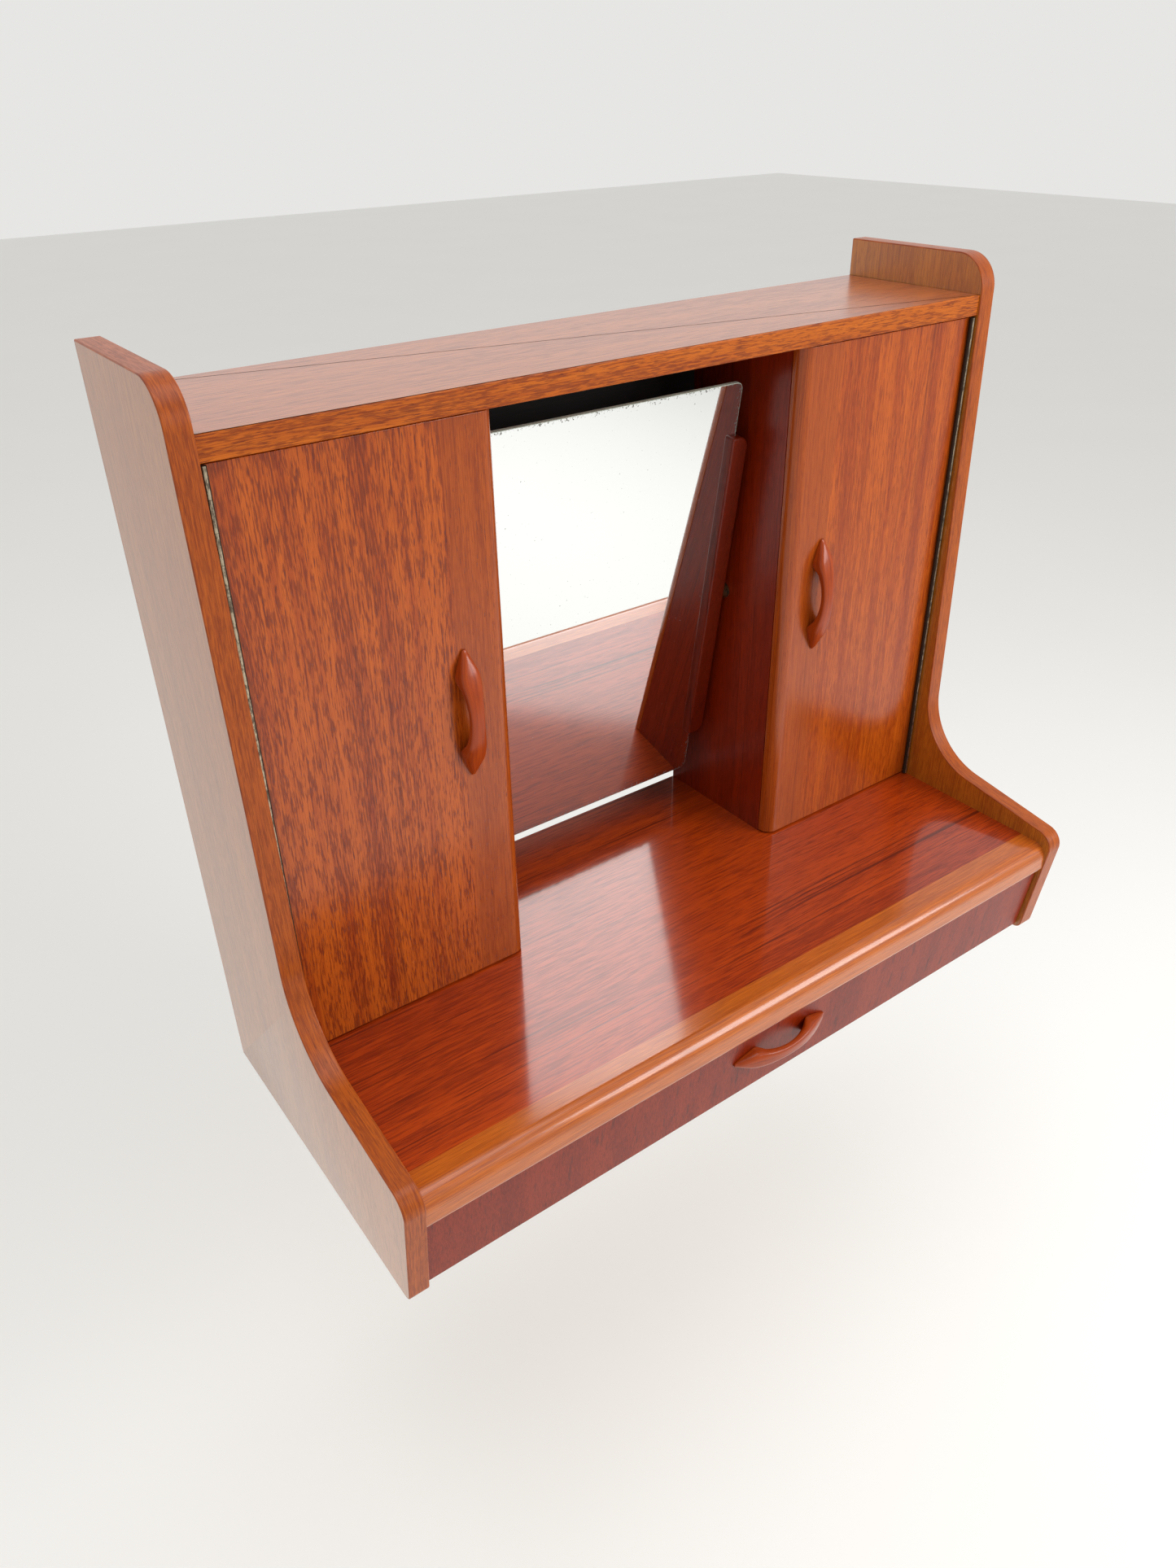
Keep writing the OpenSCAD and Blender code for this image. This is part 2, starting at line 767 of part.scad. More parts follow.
module mirror_batten() {
    color(teak_dark) at_mirror() difference() {
        translate([0, batten_d / 2, 0]) rotate([90, 0, 0]) linear_extrude(batten_d) rounded([
            [batten_inner_x, -batten_l / 2, 0],
            [batten_outer_x, -batten_l / 2, batten_corner_r],
            [batten_outer_x, batten_l / 2, batten_corner_r],
            [batten_inner_x, batten_l / 2, 0]
        ]);
        translate([0, glass_face, -batten_l / 2 - over])
            cube([glass_half_w + groove_play, glass_t + backing_t, batten_l + 2 * over]);
        translate([batten_outer_x - pivot_pin_grip, 0, 0]) rotate([0, 90, 0])
            cylinder(h = pivot_pin_grip + over, r = pivot_pin_r);
    }
}

// Pin gripped by the batten, with the collar that fills the gap to the divider
module pivot_pin() {
    color(nickel) at_mirror() rotate([0, 90, 0]) {
        translate([0, 0, batten_outer_x - pivot_pin_grip])
            cylinder(h = niche_x + bush_l - 1 - batten_outer_x + pivot_pin_grip, r = pivot_pin_r);
        translate([0, 0, batten_outer_x])
            cylinder(h = flange_x - collar_play - batten_outer_x, r = collar_r);
    }
}

on_side("left") side_panel();  // left_side_panel
on_side("right") side_panel();  // right_side_panel
top_shelf();
desk_top();
desk_front_lipping();
on_side("left") divider();  // left_divider
on_side("right") divider();  // right_divider
on_side("left") cupboard_back();  // left_cupboard_back
on_side("right") cupboard_back();  // right_cupboard_back
on_side("left") hanging_rail();  // left_hanging_rail
on_side("right") hanging_rail();  // right_hanging_rail
centre_rail();
lower_back_rail();
on_side("left") loose_shelf();  // left_loose_shelf
on_side("right") loose_shelf();  // right_loose_shelf
on_side("left") shelf_pins();  // left_shelf_pins
on_side("right") shelf_pins();  // right_shelf_pins
on_side("left") drawer_runner();  // left_drawer_runner
on_side("right") drawer_runner();  // right_drawer_runner
runner_screws();
on_side("left") catch_body();  // left_catch
on_side("right") catch_body();  // right_catch
on_side("left") pivot_bush();  // left_pivot_bush
on_side("right") pivot_bush();  // right_pivot_bush
on_side("left") hinge_frame_leaf();  // left_hinge_frame_leaf
on_side("right") hinge_frame_leaf();  // right_hinge_frame_leaf
on_side("left") hinge_pin();  // left_hinge_pin
on_side("right") hinge_pin();  // right_hinge_pin
on_side("left") hinge_frame_screws();  // left_hinge_frame_screws
on_side("right") hinge_frame_screws();  // right_hinge_frame_screws
on_side("left") door();  // left_door
on_side("right") door();  // right_door
on_side("left") hinge_door_leaf();  // left_hinge_door_leaf
on_side("right") hinge_door_leaf();  // right_hinge_door_leaf
on_side("left") hinge_door_screws();  // left_hinge_door_screws
on_side("right") hinge_door_screws();  // right_hinge_door_screws
on_side("left") door_handle();  // left_door_handle
on_side("right") door_handle();  // right_door_handle
on_side("left") door_handle_screws();  // left_handle_screws
on_side("right") door_handle_screws();  // right_handle_screws
on_side("left") strike_plate();  // left_strike_plate
on_side("right") strike_plate();  // right_strike_plate
drawer_front();
on_side("left") drawer_side();  // drawer_left_side
on_side("right") drawer_side();  // drawer_right_side
drawer_back();
drawer_bottom();
drawer_handle();
drawer_handle_screws();
mirror_glass();
mirror_backing();
on_side("left") mirror_batten();  // left_mirror_batten
on_side("right") mirror_batten();  // right_mirror_batten
on_side("left") pivot_pin();  // left_pivot_pin
on_side("right") pivot_pin();  // right_pivot_pin
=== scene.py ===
"""Looks of a wall-hung teak vanity with a tilting mirror, two cupboards and one wide drawer.

Sizes are in metres. X runs to the right, Y runs back to the wall, Z runs up, and the origin is
midway between the two wall screws. Boards that show are remade with softened edges; the hinges,
the inside of the drawer and everything hidden keep their CAD meshes and get finishes.
"""

import math

import bpy
import numpy as np
from bpy.props import FloatProperty, FloatVectorProperty, PointerProperty
from mathutils import Euler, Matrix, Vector


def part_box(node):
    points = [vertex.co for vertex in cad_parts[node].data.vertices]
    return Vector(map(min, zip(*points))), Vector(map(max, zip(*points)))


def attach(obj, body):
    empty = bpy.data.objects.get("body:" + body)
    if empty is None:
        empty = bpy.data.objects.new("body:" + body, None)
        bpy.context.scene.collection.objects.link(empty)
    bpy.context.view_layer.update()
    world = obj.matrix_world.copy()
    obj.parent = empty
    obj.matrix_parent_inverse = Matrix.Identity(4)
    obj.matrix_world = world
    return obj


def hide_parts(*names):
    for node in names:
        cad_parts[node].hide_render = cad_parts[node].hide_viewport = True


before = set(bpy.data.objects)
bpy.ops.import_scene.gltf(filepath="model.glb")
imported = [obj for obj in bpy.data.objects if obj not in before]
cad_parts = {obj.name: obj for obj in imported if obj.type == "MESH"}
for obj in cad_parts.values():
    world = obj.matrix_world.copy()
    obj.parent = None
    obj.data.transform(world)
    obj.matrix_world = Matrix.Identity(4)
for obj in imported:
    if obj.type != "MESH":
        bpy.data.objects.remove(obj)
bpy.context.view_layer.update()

bl_info = {
    "name": "Teak Vanity",
    "version": (1, 0, 0),
    "blender": (4, 5, 0),
    "location": "3D View > Sidebar > Vanity",
    "description": "Builds the boards, handles, mirror and finishes of a wall-hung teak vanity",
    "category": "Object",
}

MM = 0.001

# Driving dimensions that no bounding box gives
TOP_DEPTH = 187.5 * MM
DESK_DEPTH = 409.5 * MM
DESK_CORNER_RISE = 13 * MM
TOP_CORNER_RADIUS = 36 * MM
DESK_CORNER_RADIUS = 21 * MM
FOOT_CORNER_RADIUS = 10 * MM
FRONT_LEAN = math.radians(1.56)
FLARE_FALL = math.radians(9.2)
FRONT_SLANT = math.radians(7.4)
LIPPING_TOP_RADIUS, LIPPING_FOOT_RADIUS = 17 * MM, 9 * MM
DOOR_THICKNESS = 16 * MM
DOOR_EDGE_ROUND, DOOR_SOLID_EDGE = 0.8 * MM, 54 * MM
DRAWER_FRONT_THICKNESS = 18 * MM
DRAWER_EDGE_ROUND = 0.9 * MM
DRAWER_HANDLE_RISE = 57 * MM
MIRROR_TILT = math.radians(8.35)
GLASS_HALF_WIDTH, GLASS_HALF_HEIGHT, GLASS_CORNER_RADIUS = 154.5 * MM, 247 * MM, 8 * MM
GLASS_BACK, GLASS_FRONT, GLASS_EDGE_ROUND = -1.5 * MM, 3.5 * MM, 0.7 * MM
BATTEN_INNER, BATTEN_OUTER, BATTEN_HALF_LENGTH = 146 * MM, 168 * MM, 190 * MM
BATTEN_HALF_DEPTH, BATTEN_CORNER_RADIUS = 10.5 * MM, 12 * MM
BATTEN_INNER_RADIUS, BATTEN_EDGE_ROUND = 3 * MM, 2.2 * MM
HANDLE_HALF_WIDTH, HANDLE_WAIST, HANDLE_WAIST_RADIUS = 16 * MM, 7 * MM, 170 * MM
HANDLE_REACH, HANDLE_TIP = 20 * MM, 3 * MM
FINGER_GAP_LENGTH, FINGER_GAP_DEPTH = 72 * MM, 12 * MM

# Stage and camera. The heading is from the wall's normal, and the lens is in millimetres
FLOOR_DROP, FLOOR_HALF_WIDTH = 0.62, 14
CAMERA_PLACE = (-0.68505, -1.01001, 0.27211)
CAMERA_HEADING, CAMERA_FALL, CAMERA_ROLL = (math.radians(a) for a in (35.5819, 31.9005, -1.07))
CAMERA_LENS = 26.59143

# Columns are the across, up and outward directions of a flat outline
SEEN_FROM_SIDE = np.array([[0, 0, 1], [1, 0, 0], [0, 1, 0]], float)
SEEN_FROM_ABOVE = np.eye(3)
SEEN_FROM_FRONT = np.array([[1, 0, 0], [0, 0, -1], [0, 1, 0]], float)
SIDES = {"left": -1, "right": 1}


class VanitySizes(bpy.types.PropertyGroup):
    """Sizes that the boards' rounding and the handles take."""

    edge_round: FloatProperty(
        name="Edge rounding", description="Radius of the boards' softened edges",
        default=1.2 * MM, min=0.2 * MM, max=3 * MM, unit="LENGTH",
    )
    flare_radius: FloatProperty(
        name="Flare radius", description="Radius of the hollow between upright edge and flare",
        default=90 * MM, min=60 * MM, max=95 * MM, unit="LENGTH",
    )
    door_edge_radius: FloatProperty(
        name="Door edge radius", description="Radius of a door's free edge",
        default=14 * MM, min=4 * MM, max=14 * MM, unit="LENGTH",
    )
    handle_length: FloatProperty(
        name="Handle length", description="Length of a bow handle from tip to tip",
        default=130 * MM, min=100 * MM, max=150 * MM, unit="LENGTH",
    )


class VanityColours(bpy.types.PropertyGroup):
    """Colours of the finishes."""

    amber: FloatVectorProperty(
        name="Amber", description="Lightest tone of the teak veneer",
        default=(0.55, 0.130, 0.008), size=3, subtype="COLOR", min=0, max=1,
    )
    russet: FloatVectorProperty(
        name="Russet", description="Middle tone of the teak veneer",
        default=(0.34, 0.050, 0.0045), size=3, subtype="COLOR", min=0, max=1,
    )
    umber: FloatVectorProperty(
        name="Umber", description="Colour of the teak's pores and dark lines",
        default=(0.085, 0.009, 0.0025), size=3, subtype="COLOR", min=0, max=1,
    )
    plain_wood: FloatVectorProperty(
        name="Plain wood", description="Colour of the boards inside the drawer and cupboards",
        default=(0.62, 0.40, 0.21), size=3, subtype="COLOR", min=0, max=1,
    )
    surroundings: FloatVectorProperty(
        name="Surroundings", description="Colour of the studio and its floor",
        default=(0.795, 0.79, 0.775), size=3, subtype="COLOR", min=0, max=1,
    )


# ---------------------------------------------------------------- finishes


class Socket:
    """A shader socket. A sign between it and another, or a number, adds a Math node."""

    def __init__(self, finish, socket):
        self.finish, self.socket = finish, socket

    def _math(self, operation, first, second):
        return self.finish.node("ShaderNodeMath", {"operation": operation}, {0: first, 1: second})

    def __add__(self, other):
        return self._math("ADD", self, other)

    def __radd__(self, other):
        return self._math("ADD", other, self)

    def __sub__(self, other):
        return self._math("SUBTRACT", self, other)

    def __rsub__(self, other):
        return self._math("SUBTRACT", other, self)

    def __mul__(self, other):
        return self._math("MULTIPLY", self, other)

    def __rmul__(self, other):
        return self._math("MULTIPLY", other, self)


class Finish:
    """A material under construction, with one Principled shader."""

    def __init__(self, name):
        self.material = bpy.data.materials.new(name)
        self.material.use_nodes = True
        self.tree = self.material.node_tree
        self.shader = self.tree.nodes["Principled BSDF"]

    def node(self, kind, settings=None, sockets=None, out=0):
        """Adds a node, sets it, then fills its sockets with values or links."""
        made = self.tree.nodes.new(kind)
        for key, value in (settings or {}).items():
            if key == "stops":
                ramp = made.color_ramp.elements
                while len(ramp) < len(value):
                    ramp.new(0.5)
                for stop, (place, colour) in zip(ramp, value):
                    stop.position, stop.color = place, (*colour, 1)
            else:
                setattr(made, key, value)
        for key, value in (sockets or {}).items():
            self.fill(made.inputs[key], value)
        return Socket(self, made.outputs[out])

    def fill(self, socket, value):
        """Links a socket to another, or gives it a value."""
        if isinstance(value, Socket):
            self.tree.links.new(value.socket, socket)
        elif socket.type == "RGBA" and len(value) == 3:
            socket.default_value = (*value, 1)
        else:
            socket.default_value = value

    def surface(self, **sockets):
        """Fills the shader's sockets. Words in a name are joined by underscores."""
        for key, value in sockets.items():
            self.fill(self.shader.inputs[key.replace("_", " ")], value)
        return self.material

    def place(self, follow_uv=False, turn=(0, 0, 0), shift=(0, 0, 0)):
        """Coordinates of a pattern: the object's own, or the piece's UV map."""
        source = self.node("ShaderNodeTexCoord", out="UV" if follow_uv else "Object")
        return self.node(
            "ShaderNodeMapping", {"vector_type": "POINT"},
            {"Vector": source, "Rotation": turn, "Location": shift},
        )

    def stretched(self, vector, stretch):
        """Scales a pattern by a factor along each axis."""
        return self.node("ShaderNodeVectorMath", {"operation": "MULTIPLY"}, {0: vector, 1: stretch})

    def noise(self, vector, stretch, detail=2.0, rough=0.5, distortion=0.0):
        """Noise between 0 and 1, whose grains are 1 / stretch metres long each way."""
        return self.node(
            "ShaderNodeTexNoise", {"noise_dimensions": "3D"},
            {"Vector": self.stretched(vector, stretch), "Scale": 1.0, "Detail": detail,
             "Roughness": rough, "Distortion": distortion},
        )

    def between(self, value, low, high, to_low=0.0, to_high=1.0):
        """Smooth step of value from low to high."""
        return self.node(
            "ShaderNodeMapRange", {"interpolation_type": "SMOOTHSTEP"},
            {"Value": value, "From Min": low, "From Max": high, "To Min": to_low, "To Max": to_high},
        )

    def blend(self, factor, first, second):
        """Mixes two colours."""
        return self.node(
            "ShaderNodeMix", {"data_type": "RGBA", "clamp_factor": True},
            {0: factor, 6: first, 7: second}, out=2,
        )

    def far_from_middle(self, vector, axis):
        """Distance of a point from the middle plane across one axis."""
        along = self.node("ShaderNodeSeparateXYZ", None, {0: vector}, out=axis)
        return self.node("ShaderNodeMath", {"operation": "ABSOLUTE"}, {0: along})

    def larger(self, first, second):
        """The larger of two numbers."""
        return self.node("ShaderNodeMath", {"operation": "MAXIMUM"}, {0: first, 1: second})

    def bump(self, height, strength, distance):
        """A normal bent by a height."""
        return self.node(
            "ShaderNodeBump", None, {"Height": height, "Strength": strength, "Distance": distance}
        )


def scaled(colour, factor, warmth=1.0):
    """A colour made lighter or darker, with its green and blue scaled once more by warmth."""
    return tuple(min(1.0, c * factor * (1 if i == 0 else warmth)) for i, c in enumerate(colour))


# Turns that lay the grain along X, Z and Y
GRAIN_TURNS = {"level": (0, 0, 0), "upright": (0, math.pi / 2, 0), "deep": (0, 0, math.pi / 2)}


def teak(name, grain="level", follow_uv=False, shift=(0, 0, 0), depth=1.0, warmth=1.0,
         ribbon=1.0, flecks=1.0, lines=1.0, gloss=0.36, specular=0.25, coat=0.0, coat_gloss=0.18,
         edge_band=None, fleck_length=1.0):
    """Oiled teak. Long noises across the grain give its bands, streaks, fibres, pores and dark lines.

    depth darkens it and warmth reddens it. edge_band is the distance from the middle of the piece
    where a solid edge of plainer, pinker wood ends. fleck_length stretches the streaks.
    """
    colours = bpy.context.scene.vanity_colours
    amber = scaled(colours.amber, depth, warmth)
    russet = scaled(colours.russet, depth, warmth)
    umber = scaled(colours.umber, depth, warmth)
    f = Finish(name)
    along = f.place(follow_uv, GRAIN_TURNS[grain], shift)
    wander = f.noise(along, (2.2, 7, 7), 2.0)
    bent = f.node(
        "ShaderNodeVectorMath", {"operation": "MULTIPLY_ADD"},
        {0: wander, 1: (0, 0.012, 0.012), 2: along},
    )
    tone = f.noise(bent, (1.2, 42, 42), 2.0, 0.5)
    bands = f.noise(bent, (6.0, 190, 190), 2.0, 0.55)
    streaks = f.noise(bent, (62 / fleck_length, 620, 620), 2.0, 0.6)
    fibres = f.noise(bent, (14, 1500, 1500), 2.0, 0.6)
    pores = f.noise(bent, (95 / fleck_length, 1150, 1150), 1.0, 0.5)
    rings = f.noise(bent, (0.9, 190, 190), 2.0, 0.55)

    plain = 1.0
    if edge_band:
        away = f.far_from_middle(f.place(), "X")
        plain = f.between(away, edge_band, edge_band + 1.5 * MM, 0.35, 1.0)
    light = f.between(tone * 0.6 + bands * 0.4, 0.36, 0.60) * (0.75 * ribbon) + (0.62 - 0.40 * ribbon)
    ground = f.blend(light, russet, amber)
    if edge_band:
        pink = scaled(russet, 1.15, 1.5)
        ground = f.blend((1.0 - plain) * 1.25, ground, pink)
    streak = f.between(streaks + (tone - 0.5) * -0.30, 0.46, 0.58) * (0.72 * flecks) * plain
    ground = f.blend(streak, ground, scaled(russet, 0.42, 0.68))
    ground = f.blend(f.between(fibres, 0.42, 0.72) * 0.34, ground, scaled(russet, 0.45, 0.75))
    ground = f.blend(f.between(fibres, 0.58, 0.36) * 0.16, ground, scaled(amber, 1.35, 1.25))
    line = f.between(rings, 0.60, 0.70) * (0.5 * lines)
    ground = f.blend(line, ground, umber)
    pore = f.between(pores + (streaks - 0.5) * 0.25, 0.64, 0.72) * (0.6 * flecks)
    ground = f.blend(pore, ground, umber)
    return f.surface(
        Base_Color=ground,
        Roughness=gloss + streak * 0.08 + pore * 0.1,
        Normal=f.bump(fibres * 0.3 - streak * 0.3 - pore, 0.2, 0.0002),
        Coat_Weight=coat,
        Coat_Roughness=coat_gloss,
        Specular_IOR_Level=specular,
    )


def plain_wood(name, grain="level", tint=1.0):
    """Unvarnished wood of the inner boards: pale, with soft rings and short pores."""
    colour = bpy.context.scene.vanity_colours.plain_wood
    f = Finish(name)
    along = f.place(False, GRAIN_TURNS[grain])
    rings = f.noise(along, (1.4, 55, 55), 4.0, 0.6, 0.5)
    fibres = f.noise(along, (30, 900, 900), 2.0)
    dark_ring = scaled(colour, 0.72 * tint, 0.9)
    ground = f.blend(f.between(rings, 0.35, 0.65), scaled(colour, tint), dark_ring)
    ground = f.blend(f.between(fibres, 0.5, 0.75) * 0.35, ground, scaled(colour, 0.45 * tint, 0.85))
    return f.surface(
        Base_Color=ground, Roughness=0.62 + fibres * 0.15, Normal=f.bump(fibres, 0.2, 0.0002)
    )


def black_stain_and_shade(name):
    """Nearly black wood with its pores just showing: a stain on the mirror's backing, painted shade on the
    centre rail.
    """
    f = Finish(name)
    along = f.place()
    fibres = f.noise(along, (25, 700, 700), 3.0)
    ground = f.blend(f.between(fibres, 0.4, 0.7), (0.006, 0.005, 0.005), (0.014, 0.011, 0.009))
    return f.surface(
        Base_Color=ground, Roughness=0.72 + fibres * 0.12, Normal=f.bump(fibres, 0.3, 0.0002)
    )


def worn_nickel(name, colour=(0.52, 0.44, 0.31), tarnish=(0.035, 0.018, 0.010), crown=None):
    """Nickelled metal with brownish tarnish in patches and fine rubbing marks.

    crown is (distance, half width): the metal is bright only that near to that distance from the
    middle of the piece, and darkened to the tarnish colour in the seams beside: painted shade.
    """
    f = Finish(name)
    here = f.place()
    patches = f.noise(here, (220, 220, 90), 4.0, 0.7)
    rubs = f.noise(here, (900, 900, 2500), 2.0)
    dull = f.between(patches, 0.44, 0.60)
    if crown:
        distance, half_width = crown
        away = f.far_from_middle(here, "X")
        off = f.node("ShaderNodeMath", {"operation": "ABSOLUTE"}, {0: away - distance})
        # Painted shade: the seams beside the crown are darkened to the tarnish colour
        painted_seam_shade = f.between(off + (patches - 0.5) * (1.2 * MM), half_width * 0.75, half_width * 1.1)
        dull = f.larger(dull * 0.8, painted_seam_shade)
    ground = f.blend(dull, colour, tarnish)
    return f.surface(
        Base_Color=ground, Metallic=1.0 - dull * 0.5, Roughness=0.26 + dull * 0.35 + rubs * 0.1,
        Normal=f.bump(rubs, 0.15, 0.0001),
    )


def catch_plastic(name):
    """Off-white moulded plastic with a fine sand texture."""
    f = Finish(name)
    grit = f.noise(f.place(), (2600, 2600, 2600), 2.0)
    ground = f.blend(grit * 0.3, (0.80, 0.78, 0.72), (0.66, 0.63, 0.56))
    return f.surface(
        Base_Color=ground, Roughness=0.45 + grit * 0.1, Normal=f.bump(grit, 0.15, 0.0001)
    )


def silvering(name, half_width, half_height, centre):
    """Silvered glass, with small dark specks that crowd along its edges."""
    f = Finish(name)
    here = f.place(shift=(-centre[0], -centre[1], -centre[2]))
    side_nearness = f.between(f.far_from_middle(here, "X"), half_width - 10 * MM, half_width)
    end_nearness = f.between(f.far_from_middle(here, "Z"), half_height - 9 * MM, half_height)
    edge = f.larger(side_nearness, end_nearness)
    specks = f.noise(here, (420, 420, 420), 3.0, 0.6)
    lost = f.between(specks + edge * 0.17, 0.70, 0.76) * 0.85
    haze = f.noise(here, (9, 9, 9), 3.0)
    return f.surface(
        Base_Color=f.blend(lost, (0.83, 0.845, 0.84), (0.10, 0.09, 0.07)),
        Metallic=1.0 - lost * 0.6,
        Roughness=0.012 + lost * 0.4 + f.between(haze, 0.5, 0.8) * 0.012,
    )


def ground_glass_edge(name):
    """Green-grey edge of plate glass, ground and a little chipped."""
    f = Finish(name)
    here = f.place()
    chips = f.noise(here, (700, 700, 700), 3.0, 0.7)
    ground = f.blend(f.between(chips, 0.45, 0.7), (0.42, 0.50, 0.42), (0.78, 0.82, 0.74))
    return f.surface(
        Base_Color=ground, Roughness=0.2 + chips * 0.2, Normal=f.bump(chips, 0.4, 0.0003)
    )


# ---------------------------------------------------------------- shapes


def unit(v):
    """The vector made one metre long."""
    return v / np.linalg.norm(v)


def rounded_outline(corners, fineness):
    """Points and outward normals of an outline with rounded corners.

    corners are (across, up, radius), anticlockwise. Each becomes the arc of that radius that
    touches both of its edges: its middle lies on the corner's bisector, radius / sin(half angle)
    away.
    """
    corners = np.array(corners, float)
    points, normals = [], []
    for i in range(len(corners)):
        before, here = corners[i - 1, :2], corners[i, :2]
        after = corners[(i + 1) % len(corners), :2]
        radius = max(corners[i, 2], 0.02 * MM)
        to_before, to_after = unit(before - here), unit(after - here)
        half = math.acos(np.clip(to_before @ to_after, -1, 1)) / 2
        middle = here + unit(to_before + to_after) * radius / math.sin(half)
        start = here + to_before * radius / math.tan(half) - middle
        end = here + to_after * radius / math.tan(half) - middle
        first = math.atan2(start[1], start[0])
        sweep = (math.atan2(end[1], end[0]) - first + 3 * math.pi) % (2 * math.pi) - math.pi
        steps = int(np.clip(abs(sweep) * radius / fineness, 4, 40))
        angles = first + sweep * np.linspace(0, 1, steps + 1)
        spokes = np.stack([np.cos(angles), np.sin(angles)], 1)
        turn = (here - before)[0] * (after - here)[1] - (here - before)[1] * (after - here)[0]
        points.append(middle + radius * spokes)
        normals.append(spokes if turn > 0 else -spokes)
    return np.concatenate(points), np.concatenate(normals)


def add_piece(name, body, replaces, mesh_parts, finishes):
    """Makes a mesh object from points, faces, their corner normals, UVs and finish numbers."""
    points, faces, corner_normals, corner_uvs, face_finishes = mesh_parts
    mesh = bpy.data.meshes.new(name)
    mesh.from_pydata(points.tolist(), [], [list(map(int, face)) for face in faces])
    layer = mesh.uv_layers.new(name="UVMap")
    layer.data.foreach_set("uv", corner_uvs.astype(np.float32).ravel())
    for finish in finishes:
        mesh.materials.append(finish)
    mesh.polygons.foreach_set("material_index", np.asarray(face_finishes, np.int32))
    mesh.polygons.foreach_set("use_smooth", np.ones(len(faces), bool))
    mesh.update()
    if corner_normals is not None:
        mesh.normals_split_custom_set(corner_normals.tolist())
    piece = bpy.data.objects.new(name, mesh)
    bpy.context.scene.collection.objects.link(piece)
    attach(piece, body)
    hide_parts(replaces)


def slab(corners, low, high, rounding, axes, fineness, tilt=None):
    """A board cut to a rounded outline, between two levels along its outward axis.

    Every ring is the outline drawn in by rounding * (1 - cos a) while it climbs
    rounding * sin a, so both rims are quarter rounds. Corner normals are those of the true
    surface. tilt is a function that moves finished points.
    """
    outline, normals = rounded_outline(corners, fineness)
    count = len(outline)
    quarter = np.linspace(0, math.pi / 2, 5) if rounding > 0 else np.array([math.pi / 2])
    climb = rounding * (1 - np.cos(quarter))
    draw_in = rounding * (1 - np.sin(quarter))
    rise = np.concatenate([low + climb, (high - climb)[::-1]])
    inset = np.concatenate([draw_in, draw_in[::-1]])
    lean_out = np.concatenate([np.sin(quarter), np.sin(quarter)[::-1]])
    lean_up = np.concatenate([-np.cos(quarter), np.cos(quarter)[::-1]])
    rings = len(rise)
    flat = outline[None] - normals[None] * inset[:, None, None]
    grid = np.concatenate([flat, np.broadcast_to(rise[:, None, None], (rings, count, 1))], 2)
    slopes = np.concatenate([
        normals[None] * lean_out[:, None, None],
        np.broadcast_to(lean_up[:, None, None], (rings, count, 1))], 2)
    turn = np.asarray(axes, float)
    points = grid.reshape(-1, 3) @ turn.T
    slopes = slopes.reshape(-1, 3) @ turn.T
    j, i = np.meshgrid(np.arange(rings - 1), np.arange(count), indexing="ij")
    after = (i + 1) % count
    quads = np.stack([
        j * count + i, j * count + after, (j + 1) * count + after, (j + 1) * count + i], -1)
    quads = quads.reshape(-1, 4)
    steps = np.linalg.norm(np.roll(outline, -1, 0) - outline, axis=1)
    length = np.concatenate([[0], np.cumsum(steps)])
    u = np.stack([length[i], length[i + 1], length[i + 1], length[i]], -1).reshape(-1)
    v = np.stack([rise[j], rise[j], rise[j + 1], rise[j + 1]], -1).reshape(-1)
    foot, top = np.arange(count)[::-1], (rings - 1) * count + np.arange(count)
    outward = turn[:, 2]
    corner_normals = np.concatenate([
        slopes[quads.reshape(-1)], np.tile(-outward, (count, 1)), np.tile(outward, (count, 1))])
    corner_uvs = np.concatenate([np.stack([u, v], 1), flat[0][::-1], flat[-1]])
    faces = [*quads, foot, top]
    face_finishes = np.concatenate([np.ones(len(quads), int), [0, 0]])
    if tilt:
        points, corner_normals = tilt(points, corner_normals)
    return points, faces, corner_normals, corner_uvs, face_finishes


def mirrored(corners):
    """The same outline on the other side, still anticlockwise."""
    return [(-across, up, radius) for across, up, radius in reversed(corners)]


def on_side(side, corners):
    """A right-hand outline, mirrored for the left side."""
    return corners if SIDES[side] > 0 else mirrored(corners)


def give_finish(finish, *nodes):
    """Puts one finish on CAD nodes."""
    for node in nodes:
        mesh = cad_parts[node].data
        mesh.materials.clear()
        mesh.materials.append(finish)


def smooth_step(x, low, high):
    """Smooth step of x from low to high."""
    t = np.clip((x - low) / (high - low), 0, 1)
    return t * t * (3 - 2 * t)


def arc_height(x, half_span, rise):
    """Height at x of the circle's arc that rises by rise over a chord of twice half_span."""
    radius = (half_span**2 + rise**2) / (2 * rise)
    return np.sqrt(np.maximum(radius**2 - x**2, 0)) - (radius - rise)


